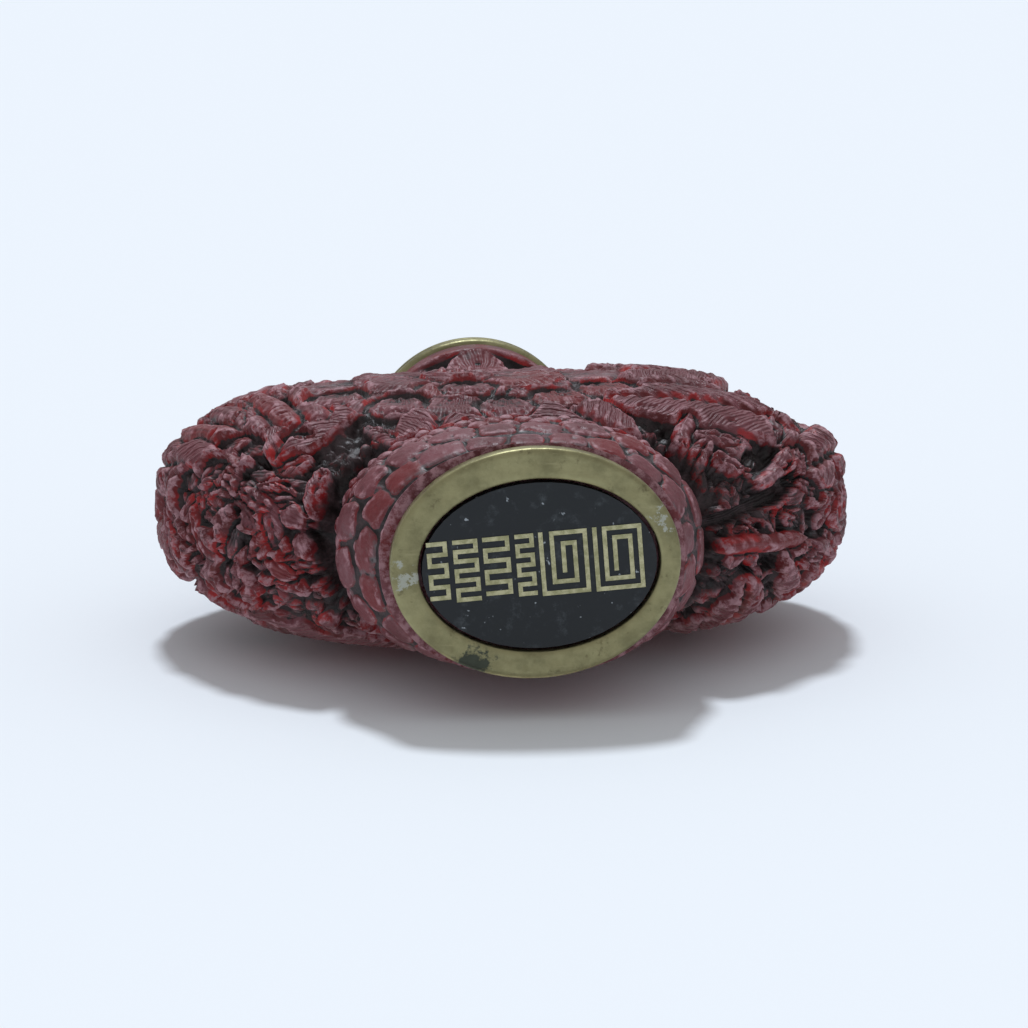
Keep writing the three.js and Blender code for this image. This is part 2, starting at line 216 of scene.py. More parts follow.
def envelope_normals(radius, angle, z):
    across = envelope_points(radius, angle + 0.02, z) - envelope_points(radius, angle - 0.02, z)
    up = envelope_points(radius, angle, z + 0.2) - envelope_points(radius, angle, z - 0.2)
    normal = np.cross(across, up)
    return normal / np.linalg.norm(normal, axis=-1, keepdims=True)


# ---- Motifs: u runs along a motif from 0 to 1, v across it from -1 to 1 ----
# Each shape gives how far it covers a point, its height above the ground there, and its grain: a
# number that grows by one from each fine vein to the next.


def edge(inside, softness):
    return smooth(inside, 0, softness)


def petal(u, v, m):
    q = np.hypot(2 * u - 1, v)
    fan = np.arctan2(v, u + 0.25)
    folds = 0.16 * np.cos(9 * fan) * smooth(q, 0.2, 0.9)
    lip = 0.22 * np.exp(-(((q - 0.8) / 0.09) ** 2))
    top = m["level"] - 0.9 * q**5 - m["cup"] * (1 - q * q) - m["drop"] * (1 - u) + folds - lip
    return edge(1 - q, 0.11), top, fan * m["half_width"] * 1.7


def leaf(u, v, m):
    width = np.sqrt(np.maximum(4 * u * (1 - u), 0)) + 1e-6
    q = np.abs(v) / width
    midrib = m["midrib"] * np.exp(-((v / 0.13) ** 2))
    side = m["length"] * u + 1.1 * m["half_width"] * np.abs(v)
    veins = 0.16 * np.sin(2 * math.pi * side / 1.5)
    top = m["level"] - 0.9 * q**4 - midrib + veins * (1 - q) - m["drop"] * (1 - u)
    return edge(1 - q, 0.16), top, side / 0.5


def ridge(u, v, m):
    width = np.minimum(1, 3 * np.sqrt(np.maximum(u * (1 - u), 0))) + 1e-6
    q = np.abs(v) / width
    return edge(1 - q, 0.3), m["level"] - 1.2 * q * q - m["drop"] * (1 - u), 1.6 * m["half_width"] * v


def scroll(u, v, m):
    radius = np.hypot(2 * u - 1, v)
    turn = np.arctan2(v, 2 * u - 1) / (2 * math.pi)
    groove = 0.5 * np.exp(-(((radius - 0.62 - 0.2 * turn) / 0.09) ** 2))
    top = m["level"] * smooth(radius, 0.02, 0.3) - 0.5 * radius**4 - groove
    return edge(1 - radius, 0.17), top, turn * 18


def curl(u, v, m):
    """A small crescent: a leaf's tip that turns round on itself."""
    radius = np.hypot(2 * u - 1, v)
    turn = np.arctan2(v, 1 - 2 * u) / (2 * math.pi) + 0.5
    inner = 0.25 + 0.5 * turn
    body = np.minimum((radius - inner) / 0.12, (1 - radius) / 0.2)
    return smooth(body, 0, 1), m["level"] * (0.6 + 0.4 * turn) + 0 * radius, turn * 8


def block(u, v, m):
    q = ((2 * u - 1) ** 4 + v**4) ** 0.25
    return edge(1 - q, 0.16), m["level"] - 0.7 * q**5, 0 * q


def bead(u, v, m):
    q = np.hypot(2 * u - 1, v)
    return edge(1 - q, 0.3), m["level"] - 0.9 * q * q, 0 * q


def make_motif(motifs, radius, shape, angle, z, turn, length, half_width, **extra):
    """Adds a motif whose root is at (angle, z). turn is its direction in the surface, in degrees,
    anticlockwise from the horizontal as seen from outside, and bend curves its far end aside."""
    normal = envelope_normals(radius, np.array(angle), np.array(z))
    level = np.cross([0, 0, 1], normal)
    level /= np.linalg.norm(level)
    up = np.cross(normal, level)
    direction = math.radians(turn)
    along = level * math.cos(direction) + up * math.sin(direction)
    motifs.append({
        "shape": shape, "at": envelope_points(radius, np.array(angle), np.array(z)), "normal": normal,
        "along": along, "across": np.cross(normal, along), "length": length, "half_width": half_width,
        "bend": 0, "level": RELIEF, "cup": 0, "drop": 0, "midrib": 0.8, **extra,
    })


def on_face(motifs, face, shape, s, z, turn, length, half_width, **extra):
    """A motif on a broad face (the front is -1, the back 1), its root s to the right of the axis."""
    half_x, half_y = flask_halves(z)
    rest = max(1 - abs(s / half_x) ** FLASK["power"], 0)
    angle = math.atan2(face * half_y * rest ** (1 / FLASK["power"]), -face * s)
    make_motif(motifs, flask_radius, shape, angle, z, turn, length, half_width, **extra)


def on_edge(motifs, side, shape, y, z, turn, length, half_width, **extra):
    """A motif on a narrow side (the left is -1, the right 1), its root at depth y."""
    half_x, half_y = flask_halves(z)
    rest = max(1 - abs(y / half_y) ** FLASK["power"], 0)
    angle = math.atan2(y, side * half_x * rest ** (1 / FLASK["power"]))
    make_motif(motifs, flask_radius, shape, angle, z, turn, length, half_width, **extra)


# ---- The carving's design ----

FLOWER = {
    "s": -4, "z": 33,
    "rings": (
        {"petals": 8, "root": 6.6, "size": (9.4, 5.4), "form": {"level": 2.5, "cup": 0.5, "drop": 0.9}},
        {"petals": 6, "root": 2.4, "size": (8.2, 4.7), "form": {"level": 2.6, "cup": 0.5, "drop": 0.7}},
        {"petals": 1, "root": -3.6, "size": (7.2, 3.6), "form": {"level": 2.6, "cup": 0.7, "drop": 0}},
    ),
    "seeds": {"count": 9, "turn": 40, "reach": 1.6, "radius": 0.5, "level": 2.5},
}
FRONT_PETALS = {
    "middles": ((-13.9, 26), (-9.3, 22), (-3.6, 26.6), (-0.9, 20.4), (3.4, 22.6), (7.2, 25.8)),
    "root_above": 4,
    "groove": {"size": (8, 3.2), "form": {"level": 1.5, "drop": -0.8}},
    "petal": {"size": (7.4, 2.8), "form": {"level": 2.6, "cup": 0.5, "drop": 1.2}},
}
UNDERGROWTH = {"motifs": 620, "low": 8.6, "high": 49}
OVERGROWTH = {"motifs": 110, "low": 9, "high": 25}


def carve_flower(motifs, face):
    for k, ring in enumerate(FLOWER["rings"]):
        for i in range(ring["petals"]):
            turn = 360 * (i + 0.5 * (k % 2)) / ring["petals"]
            s = FLOWER["s"] + ring["root"] * math.cos(math.radians(turn))
            z = FLOWER["z"] + ring["root"] * math.sin(math.radians(turn))
            on_face(motifs, face, petal, s, z, turn, *ring["size"], **ring["form"])


def carve_seeds(motifs, face):
    """A seed in the flower's middle and a ring of others round it."""
    seeds = FLOWER["seeds"]
    for i in range(seeds["count"]):
        reach = seeds["reach"] if i else 0
        turn = math.radians(seeds["turn"] * i)
        s = FLOWER["s"] + reach * math.cos(turn) - seeds["radius"]
        z = FLOWER["z"] + reach * math.sin(turn)
        on_face(motifs, face, bead, s, z, 0, 2 * seeds["radius"], seeds["radius"], level=seeds["level"])


def carve_wreath(motifs, face):
    leaves = 9
    for i in range(leaves):
        turn = 20 + 360 * i / leaves
        s = FLOWER["s"] + 12.5 * math.cos(math.radians(turn))
        z = FLOWER["z"] + 12.5 * math.sin(math.radians(turn))
        on_face(motifs, face, leaf, s, z, turn, 12, 4.4, level=2.5, bend=0.3)


def carve_broad_leaves(motifs, face):
    on_face(motifs, face, leaf, 8, 21, 8, 18, 5.2, bend=-0.3)
    on_face(motifs, face, leaf, 9, 29, 40, 17, 4.8, bend=0.3)
    on_face(motifs, face, leaf, 4, 45, 25, 15, 4, bend=-0.4)


def carve_fan(motifs, face):
    for i in range(5):
        on_face(motifs, face, ridge, -17 - 2.4 * i, 19 + 0.9 * i, 92 + 6 * i, 13, 1.6, bend=0.6)


def carve_front_petals(motifs):
    """Petals that hang below the front's flower and fan out from it, each in a groove of its own."""
    for s, z in FRONT_PETALS["middles"]:
        turn = -90 + 2 * (s - FLOWER["s"])
        for layer in (FRONT_PETALS["groove"], FRONT_PETALS["petal"]):
            root = z + FRONT_PETALS["root_above"]
            on_face(motifs, -1, petal, s, root, turn, *layer["size"], **layer["form"])


def carve_right_cleft(motifs):
    """A deep straight cleft in the right side with a smooth strip behind it."""
    on_edge(motifs, 1, ridge, 0.9, 8.8, 92, 13, 1.1, level=2.4)
    on_edge(motifs, 1, ridge, -1.2, 8.8, 92, 12, 0.9, level=0)


def carve_sides(motifs):
    for side in (-1, 1):
        for i in range(4):
            z = 46 - 9 * i
            lean = 12 * side
            on_edge(motifs, side, leaf, -4.6, z, 90 - lean, 12, 3.6)
            on_edge(motifs, side, leaf, 4.6, z - 3, 90 + lean, 12, 3.6)
            on_edge(motifs, side, scroll, 0, z + 3, 90, 7, 3)
    for i in range(3):
        on_edge(motifs, 1, leaf, 7 - 2.4 * i, 10 + 2.6 * i, 60, 11, 3)
        on_edge(motifs, 1, ridge, -6.4 + 2.4 * i, 11 + 2.4 * i, 84, 9, 1.1, level=2.2)
    for i in range(3):
        on_edge(motifs, -1, scroll, 6 - 4.4 * i, 10.4 + 0.8 * i, 90, 6, 3)
        on_edge(motifs, -1, scroll, 4.4 - 4.6 * i, 15.4 + 0.8 * i, 90, 6.4, 3.2)
        on_edge(motifs, -1, scroll, 6.8 - 4.6 * i, 20.4 + 0.8 * i, 90, 6.4, 3.2)


def carve_overgrowth(motifs):
    """Small leaves and curls that lie across the scrolls and ridges low on the narrow sides."""
    for i in range(OVERGROWTH["motifs"]):
        draw = [hashed(np.array([i, k, 4]), SEED) for k in range(6)]
        side = -1 if i % 3 else 1
        y = lerp(-9, 9, (i * 0.5698) % 1)
        z = lerp(OVERGROWTH["low"], OVERGROWTH["high"], (i * 0.7549) % 1)
        shape = (leaf, curl, leaf, petal)[int(draw[0] * 3.99)]
        on_edge(motifs, side, shape, y, z, 360 * draw[1], lerp(3, 5.4, draw[2]), lerp(0.8, 1.5, draw[3]),
                level=lerp(1.7, 2.5, draw[4]), bend=lerp(-0.6, 0.6, draw[5]), midrib=0.4, drop=0.6)


def carve_undergrowth(motifs):
    """Small leaves, buds and curls that fill the ground between the large motifs."""
    for i in range(UNDERGROWTH["motifs"]):
        draw = [hashed(np.array([i, k, 1]), SEED) for k in range(6)]
        z = lerp(UNDERGROWTH["low"], UNDERGROWTH["high"], (i * 0.7549) % 1)
        angle = even_angles(flask_radius, z, (i * 0.5698) % 1)
        shape = (leaf, leaf, curl, petal, leaf, curl, ridge)[int(draw[0] * 6.99)]
        length = lerp(3.2, 6, draw[1]) * (0.75 if shape is curl else 1)
        width = {leaf: 0.27, petal: 0.36, curl: 0.5, ridge: 0.2}[shape] * lerp(0.85, 1.2, draw[2])
        make_motif(motifs, flask_radius, shape, angle, z, 360 * draw[3], length, length * width,
                   level=lerp(1.0, 1.9, draw[4]), bend=lerp(-0.5, 0.5, draw[5]), midrib=0.35, drop=0.4)


def flask_motifs():
    motifs = []
    carve_undergrowth(motifs)
    for face in (-1, 1):
        carve_wreath(motifs, face)
        carve_broad_leaves(motifs, face)
        carve_fan(motifs, face)
        carve_flower(motifs, face)
        carve_seeds(motifs, face)
    carve_sides(motifs)
    carve_overgrowth(motifs)
    carve_front_petals(motifs)
    carve_right_cleft(motifs)
    return motifs


# The foot's bands: how many round it, and each row's height, length and half width.
PLATES = {
    "shape": block, "level": 2.45, "count": 21, "rows": ((2.7, 3.35, 1.84), (6.0, 3.5, 2.04)),
}
LEDGE_BEADS = {
    "shape": bead, "level": 2.35, "count": 34,
    "rows": ((9.4, 2.1, 1.25), (11.3, 1.9, 1.15), (12.9, 1.6, 1.0)),
}
UNEVEN = {
    "shift": 0.35, "climb": 0.8, "turn": 50,
    "size": (0.8, 1.15), "length": (0.85, 1.15), "level": 0.3,
}


def foot_motifs():
    motifs = []
    for band in (PLATES, LEDGE_BEADS):
        for k, row in enumerate(band["rows"]):
            for i in range(band["count"]):
                add_uneven(motifs, band, row, k, i)
    return motifs


def add_uneven(motifs, band, row, k, i):
    """The i-th plate or bead of the k-th row, each a little out of line and of its own size."""
    z, length, half_width = row
    draw = hashed(np.array([i, k, 5]), SEED)
    wide = hashed(np.array([i, k, 6]), SEED)
    share = (i + 0.5 * (k % 2) + UNEVEN["shift"] * draw) / band["count"]
    angle = even_angles(foot_radius, z, share)
    climb = UNEVEN["climb"] * (wide - 0.5)
    turn = 90 + UNEVEN["turn"] * (draw - 0.5)
    length *= lerp(*UNEVEN["length"], draw)
    half_width *= lerp(*UNEVEN["size"], wide)
    level = band["level"] + UNEVEN["level"] * (draw - 0.5)
    make_motif(motifs, foot_radius, band["shape"], angle, z + climb, turn, length, half_width, level=level)


LAPPETS = {"count": 8, "z": 56.3, "size": (5, 3.5), "cup": 0.6}
NECK_BEADS = {"count": 26, "z": 53.4, "size": (1.8, 0.95), "level": 1.9}


def neck_motifs():
    motifs = []
    for i in range(LAPPETS["count"]):
        angle = 2 * math.pi * i / LAPPETS["count"]
        make_motif(motifs, round_neck, petal, angle, LAPPETS["z"], 90, *LAPPETS["size"], cup=LAPPETS["cup"])
    for i in range(NECK_BEADS["count"]):
        angle = 2 * math.pi * i / NECK_BEADS["count"]
        make_motif(motifs, round_neck, bead, angle, NECK_BEADS["z"], 90, *NECK_BEADS["size"],
                   level=NECK_BEADS["level"])
    return motifs


def round_neck(angle, z):
    return neck_radius(z) + 0 * angle


# ---- Grids and meshes ----


def even_rows(outline, low, high, count):
    """Heights whose points on the outline (z) -> (r, z) lie at even distances."""
    z = np.linspace(low, high, 2000)
    r, along = outline(z)
    lengths = np.concatenate([[0], np.cumsum(np.hypot(np.diff(r), np.diff(along)))])
    return np.interp(np.linspace(0, lengths[-1], count), lengths, z)


def even_angles(radius, z, shares):
    """Angles at these shares, 0 to 1, of the way round the envelope at one height."""
    angle = np.linspace(-math.pi, math.pi, 361)
    points = envelope_points(radius, angle, np.full_like(angle, z))
    lengths = np.concatenate([[0], np.cumsum(np.linalg.norm(np.diff(points, axis=0), axis=1))])
    return np.interp(np.asarray(shares) * lengths[-1], lengths, angle)


def loop_faces(rows, columns, closed):
    """Quads over a grid of points whose columns go all the way round, and its rows too if closed."""
    first = np.arange(rows * columns).reshape(rows, columns)
    above = np.roll(first, -1, axis=0)
    quads = np.stack([first, np.roll(first, -1, axis=1), np.roll(above, -1, axis=1), above], axis=-1)
    if closed:
        return quads.reshape(-1, 4).tolist()
    ends = [first[0][::-1].tolist(), first[-1].tolist()]
    return quads[:-1].reshape(-1, 4).tolist() + ends


def make_mesh(name, points, rows, columns, closed=False):
    mesh = bpy.data.meshes.new(name)
    mesh.from_pydata((points.reshape(-1, 3) * MM).tolist(), [], loop_faces(rows, columns, closed))
    for polygon in mesh.polygons:
        polygon.use_smooth = len(polygon.vertices) < 5
    return mesh


WOBBLE = ((2.3, 0.55), (0.7, 0.2))  # bump to bump and by how much, for lines cut by hand
CHIPS = {"cell": 0.9, "depth": 0.35, "least": 0.7, "most": 0.95}
RUB = {"cell": 0.5, "depth": 0.2}


class Grid:
    """A closed sleeve of points round the bottle's axis, with its envelope and its carved height."""

    def __init__(self, radius, rows, columns):
        self.shape = (len(rows), columns)
        shares = np.arange(columns) / columns
        angle = np.stack([even_angles(radius, z, shares) for z in rows]).ravel()
        z = np.repeat(rows, columns)
        self.angle, self.z = angle, z
        self.points = envelope_points(radius, angle, z)
        self.normals = envelope_normals(radius, angle, z)
        self.height = np.zeros(len(z))
        self.tone = np.full(len(z), 0.5)
        self.grain = np.zeros(len(z))
        self.carved = self.points.copy()

    def lay_ground(self, knob_cell):
        """Rough ground with small knobs, 0.3 to 1.35 high."""
        near, draw = cell_pattern(self.points, knob_cell)
        knobs = lerp(0.3, 1.35, draw) * smooth(0.62 - near, 0, 0.34)
        self.height = np.maximum(0.05 + 0.4 * value_noise(self.points, 1.1), knobs)
        self.tone = draw

    def lay(self, motifs):
        """Lays motifs on the ground, later ones over earlier ones."""
        bent = self.points.copy()
        for cell, depth in WOBBLE:
            bent += depth * (noise_vector(self.points, cell) - 0.5)
        for k, m in enumerate(motifs):
            reach = math.hypot(m["length"], m["half_width"]) * 1.6
            low = np.searchsorted(self.z, m["at"][2] - reach)
            high = np.searchsorted(self.z, m["at"][2] + reach)
            away = bent[low:high] - m["at"]
            u = away @ m["along"] / m["length"]
            v = away @ m["across"] / m["half_width"] - m["bend"] * u * u
            facing = self.normals[low:high] @ m["normal"] > 0.3
            held = np.flatnonzero((u > 0) & (u < 1) & (np.abs(v) < 1) & facing)
            cover, top, grain = m["shape"](u[held], v[held], m)
            held += low
            self.height[held] = lerp(self.height[held], np.clip(top, 0, RELIEF), cover)
            self.tone[held] = lerp(self.tone[held], hashed(np.array([k, 2, 3]), SEED), cover)
            self.grain[held] = np.where(cover > 0.5, grain, self.grain[held])

    def wear(self):
        """Rubs the carving down unevenly and chips it here and there."""
        chips = smooth(value_noise(self.points, CHIPS["cell"], SEED + 1), CHIPS["least"], CHIPS["most"])
        rubbed = RUB["depth"] * value_noise(self.points, RUB["cell"], SEED + 2)
        self.height -= np.minimum(CHIPS["depth"] * chips + rubbed, self.height)

    def carve(self, relief):
        self.carved = self.points - self.normals * (relief * (1 - self.height / RELIEF))[:, None]

    def keep_inside(self, low, high):
        self.carved = np.clip(self.carved, low, high)

    def blurred(self, values, cells):
        grid = values.reshape(self.shape)
        for _ in range(2):
            wide = [np.roll(grid, k, axis=1) for k in range(-cells, cells + 1)]
            grid = sum(wide) / len(wide)
            padded = np.pad(grid, ((cells, cells), (0, 0)), mode="edge")
            tall = [padded[k:k + self.shape[0]] for k in range(2 * cells + 1)]
            grid = sum(tall) / len(tall)
        return grid.ravel()

    def carved_normals(self):
        grid = self.carved.reshape(*self.shape, 3)
        across = np.roll(grid, -1, axis=1) - np.roll(grid, 1, axis=1)
        up = np.gradient(grid, axis=0)
        normal = np.cross(across, up)
        normal /= np.linalg.norm(normal, axis=2, keepdims=True) + 1e-9
        return normal.reshape(-1, 3)

    def mesh(self, name):
        mesh = make_mesh(name, self.carved, *self.shape)
        wall = 1 - np.einsum("ij,ij->i", self.carved_normals(), self.normals)
        # hollow and nook: how far a point lies below its wider and its nearer surroundings. The lacquer
        # darkens these as dirt and painted shade, and lightens raised tips as painted highlight.
        hollow = self.blurred(self.height, 8) - self.height
        nook = self.blurred(self.height, 2) - self.height
        for label, values in (("rise", self.height / RELIEF), ("wall", wall), ("tone", self.tone),
                              ("hollow", 0.5 + 0.5 * hollow), ("nook", 0.5 + 1.5 * nook)):
            self.add_attribute(mesh, label, np.clip(values, 0, 1))
        self.add_attribute(mesh, "grain", self.grain)
        return mesh

    @staticmethod
    def add_attribute(mesh, name, values):
        attribute = mesh.attributes.new(name, "FLOAT", "POINT")
        attribute.data.foreach_set("value", values.astype(np.float32))


def show(name, mesh, material, replaced):
    """Makes a mesh a shown piece that rides on the body, in place of a CAD node."""
    piece = bpy.data.objects.new(name, mesh)
    bpy.context.scene.collection.objects.link(piece)
    mesh.materials.append(material)
    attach(piece, "root")
    if replaced:
        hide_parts(replaced)
    return piece


# ---- Materials ----


class Surface:
    """A material's nodes, made one after another."""

    def __init__(self, name):
        self.material = bpy.data.materials.new(name)
        self.material.use_nodes = True
        self.tree = self.material.node_tree
        self.shader = self.tree.nodes["Principled BSDF"]

    def add(self, kind, inputs=(), **settings):
        node = self.tree.nodes.new(kind)
        for key, value in settings.items():
            setattr(node, key, value)
        for key, value in dict(inputs).items():
            self.feed(node.inputs[key], value)
        return node

    def feed(self, socket, value):
        if isinstance(value, bpy.types.NodeSocket):
            self.tree.links.new(value, socket)
        else:
            socket.default_value = value

    def set(self, **values):
        for key, value in values.items():
            self.feed(self.shader.inputs[key.replace("_", " ").title().replace("Ior", "IOR")], value)

    def place(self):
        return self.add("ShaderNodeTexCoord").outputs["Object"]

    def noise(self, scale, detail=4, roughness=0.6, where=None):
        inputs = {"Scale": scale, "Detail": detail, "Roughness": roughness}
        inputs["Vector"] = where or self.place()
        return self.add("ShaderNodeTexNoise", inputs).outputs["Fac"]

    def stretched(self, x, y, z):
        """Coordinates that are shorter along some axes, for scratches and streaks."""
        node = self.add("ShaderNodeMapping", {"Vector": self.place(), "Scale": (x, y, z)})
        return node.outputs["Vector"]

    def near(self, x, y, reach):
        """One within reach, in millimetres, of a place under the foot, with a ragged edge."""
        spot = {0: self.place(), 1: (x * MM, y * MM, 0)}
        away = self.add("ShaderNodeVectorMath", spot, operation="DISTANCE").outputs["Value"]
        ragged = self.math("ADD", away, self.span(self.noise(700, 5, 0.7), 0.3, 0.7, -MM, MM))
        return self.span(ragged, reach * MM, 0.5 * reach * MM)

    def attribute(self, name):
        return self.add("ShaderNodeAttribute", attribute_name=name).outputs["Fac"]

    def math(self, operation, a, b=0.0):
        return self.add("ShaderNodeMath", {0: a, 1: b}, operation=operation).outputs[0]

    def span(self, value, low, high, to_low=0.0, to_high=1.0):
        inputs = {"Value": value, "From Min": low, "From Max": high, "To Min": to_low, "To Max": to_high}
        return self.add("ShaderNodeMapRange", inputs, interpolation_type="SMOOTHSTEP").outputs["Result"]

    def mix(self, share, a, b):
        node = self.add("ShaderNodeMix", data_type="RGBA")
        self.feed(node.inputs["Factor"], share)
        self.feed(node.inputs["A"], a)
        self.feed(node.inputs["B"], b)
        return node.outputs["Result"]

    def bump(self, height, distance, strength=1.0, under=None):
        inputs = {"Height": height, "Distance": distance, "Strength": strength}
        if under is not None:
            inputs["Normal"] = under
        return self.add("ShaderNodeBump", inputs).outputs["Normal"]


def colour(red, green, blue):
    """A colour given as the eye sees it, 0 to 255, for a shader's socket."""
    parts = [c / 255 for c in (red, green, blue)]
    linear = [c / 12.92 if c <= 0.04045 else ((c + 0.055) / 1.055) ** 2.4 for c in parts]
    return (*linear, 1.0)


def lacquer(name):
    """Red lacquer: worn and bloomed on top with a painted sheen, crimson with painted shade on the cut
    walls, dark dirt with painted shade in the depths, painted highlights on raised tips.
    """
    s = Surface(name)
    rise, wall, hollow = s.attribute("rise"), s.attribute("wall"), s.attribute("hollow")
    nook, tone = s.attribute("nook"), s.attribute("tone")
    patches, speckle = s.noise(170, 5), s.noise(1000, 4, 0.7)
    vein = s.math("SINE", s.math("MULTIPLY", s.attribute("grain"), 2 * math.pi))
    flat = s.span(wall, 0.3, 0.08)
    # The pale pink is partly the lacquer's dusty bloom and partly a painted sheen.
    bloom_and_sheen = s.mix(s.span(patches, 0.35, 0.68), colour(86, 32, 38), colour(116, 64, 71))
    worn = s.mix(s.span(tone, 0.6, 0.95), bloom_and_sheen, colour(106, 30, 34))
    # Crimson on the steep cut walls: partly cleaner lacquer, partly painted shade on the undersides.
    crimson_and_shade = s.mix(s.span(s.noise(240, 3), 0.4, 0.65), colour(88, 16, 20), colour(154, 24, 26))
    cut = s.math("MULTIPLY", s.span(wall, 0.1, 0.4), s.span(s.noise(320, 3), 0.36, 0.52))
    clean_and_shaded = s.mix(cut, worn, crimson_and_shade)
    # Speckled pale pink on the raised tips is a painted highlight.
    tip_highlights = s.math("MULTIPLY", s.span(nook, 0.42, 0.22), s.span(speckle, 0.4, 0.62))
    highlighted_tips = s.mix(tip_highlights, clean_and_shaded, colour(164, 122, 129))
    # Darker in the low ground, the hollows, the crevices and along the veins: dirt and painted shade.
    depth = s.math("ADD", s.span(rise, 0.85, 0.25), s.span(hollow, 0.5, 0.85))
    veins = s.math("MULTIPLY", flat, s.span(vein, 0.0, -1.0, 0.0, 0.22))
    nooks = s.math("ADD", s.span(nook, 0.52, 0.85, 0.0, 0.7), veins)
    ragged = s.math("ADD", nooks, s.span(speckle, 0.3, 0.7, -0.3, 0.3))
    grime_and_shade = s.span(s.math("ADD", depth, ragged), 0.45, 1.1)
    dust = s.math("MULTIPLY", s.span(s.noise(420, 5, 0.7), 0.48, 0.62), s.span(hollow, 0.4, 0.62))
    dusty = s.mix(s.math("MULTIPLY", dust, flat), highlighted_tips, colour(96, 88, 90))
    dark_dirt_and_shade = s.mix(s.span(s.noise(500, 5, 0.7), 0.42, 0.66), colour(26, 20, 20), colour(66, 52, 54))
    s.set(base_color=s.mix(grime_and_shade, dusty, dark_dirt_and_shade), roughness=s.span(speckle, 0.3, 0.7, 0.4, 0.64))
    s.set(specular_ior_level=0.35)
    fine = s.bump(s.noise(1700, 3, 0.6), 0.0001, 0.5)
    worn_down = s.bump(s.noise(420, 5, 0.6), 0.0004, 0.6, under=fine)
    lines = s.math("MULTIPLY", vein, flat)
    s.set(normal=s.bump(lines, 0.00006, 0.8, under=worn_down))
    return s.material


def old_brass(name, corroded=(), dirty=()):
    """Dull brass: olive patina, brown stains, fine scratches and a few pale corroded spots."""
    s = Surface(name)
    stains = s.noise(240, 6, 0.65)
    base = s.mix(s.span(stains, 0.38, 0.66), colour(148, 143, 106), colour(122, 118, 86))
    brown = s.span(s.noise(620, 5, 0.7), 0.56, 0.72)
    base = s.mix(s.math("MULTIPLY", brown, 0.7), base, colour(84, 76, 54))
    scratches = s.noise(260, 3, 0.5, where=s.stretched(1, 9, 1))
    base = s.mix(s.span(scratches, 0.6, 0.72, 0.0, 0.5), base, colour(156, 150, 114))
    for x, y, reach in dirty:
        base = s.mix(s.near(x, y, reach), base, colour(66, 70, 60))
    spots = s.span(s.noise(150, 4, 0.75), 0.68, 0.74)
    for x, y, reach in corroded:
        spots = s.math("MAXIMUM", spots, s.near(x, y, reach))
    s.set(base_color=s.mix(spots, base, colour(160, 163, 150)))
    s.set(metallic=s.span(spots, 0, 1, 0.85, 0.1))
    s.set(roughness=s.span(s.noise(1400, 4), 0.3, 0.7, 0.36, 0.55))
    s.set(normal=s.bump(s.noise(2400, 4), 0.00005, 0.5))
    return s.material


def black_stone(name):
    s = Surface(name)
    dust = s.span(s.noise(700, 6, 0.7), 0.52, 0.8)
    base = s.mix(dust, colour(22, 27, 31), colour(66, 72, 76))
    specks = s.span(s.noise(1500, 2, 0.5), 0.7, 0.76)
    s.set(base_color=s.mix(specks, base, colour(150, 158, 164)), roughness=0.45)
    s.set(specular_ior_level=0.35)
    s.set(normal=s.bump(s.noise(1500, 4), 0.00004, 0.4))
    return s.material


def worn_gold(name):
    s = Surface(name)
    rubbed = s.span(s.noise(1500, 4, 0.7), 0.35, 0.65)
    s.set(base_color=s.mix(rubbed, colour(150, 148, 108), colour(190, 186, 148)))
    s.set(metallic=0.3, roughness=0.5)
    return s.material


def cork(name):
    s = Surface(name)
    grain = s.span(s.noise(900, 5, 0.7), 0.35, 0.65)
    s.set(base_color=s.mix(grain, colour(120, 86, 56), colour(186, 146, 104)), roughness=0.9)
    s.set(normal=s.bump(s.noise(1200, 4), 0.0003, 0.6))
    return s.material


# ---- The carved flask, foot and neck ----


def outside_foot(angle, z):
    return super_radius(angle, *flask_halves(z), FLASK["power"]) - foot_radius(angle, z)


def moat(outside):
    return smooth(outside, 0, 1) * (1 - smooth(outside, MOAT["width"], MOAT["width"] + MOAT["fade"]))


FLASK_PIECES = {
    "lower_carving": {"low": FLASK["low"], "high": 33.4, "rows": 152},
    "upper_carving": {"low": 32.8, "high": FLASK["high"], "rows": 148},
}
GRIDS = {
    "flask": {"columns": 640, "knobs": 1.5},
    "foot": {"rows": 126, "columns": 620, "knobs": 1.3},
    "neck": {"rows": 110, "columns": 300, "knobs": 1.2, "low": 48},
    "cap": {"rows": 90, "columns": 300, "knobs": 1.3},
}
SHOULDER = {"begin": 49, "bare": 51, "end": 56.5, "gone": 57.5}  # the bare ground under the neck


def build_flask(material):
    """The flask in two pieces, which overlap a little at the widest place."""
    def outline(z):
        return 0.45 * super_radius(0, *flask_halves(z), FLASK["power"]), z

    motifs = flask_motifs()
    for name, part in FLASK_PIECES.items():
        rows = even_rows(outline, part["low"], part["high"], part["rows"])
        grid = Grid(flask_radius, rows, GRIDS["flask"]["columns"])
        grid.lay_ground(GRIDS["flask"]["knobs"])
        grid.lay(motifs)
        grid.wear()
        around = moat(outside_foot(grid.angle, grid.z))
        grid.height *= 1 - around
        grid.height *= 1 - shoulder(grid.z)
        relief = RELIEF + MOAT["extra"] * around
        grid.carve(lerp(relief, NECK_RELIEF, smooth(grid.z, NECK["begin"], NECK["full"])))
        grid.keep_inside(BODY_LOW, BODY_HIGH)
        show(name, grid.mesh(name), material, "flask_body")


def shoulder(z):
    begun = smooth(z, SHOULDER["begin"], SHOULDER["bare"])
    return begun * (1 - smooth(z, SHOULDER["end"], SHOULDER["gone"]))


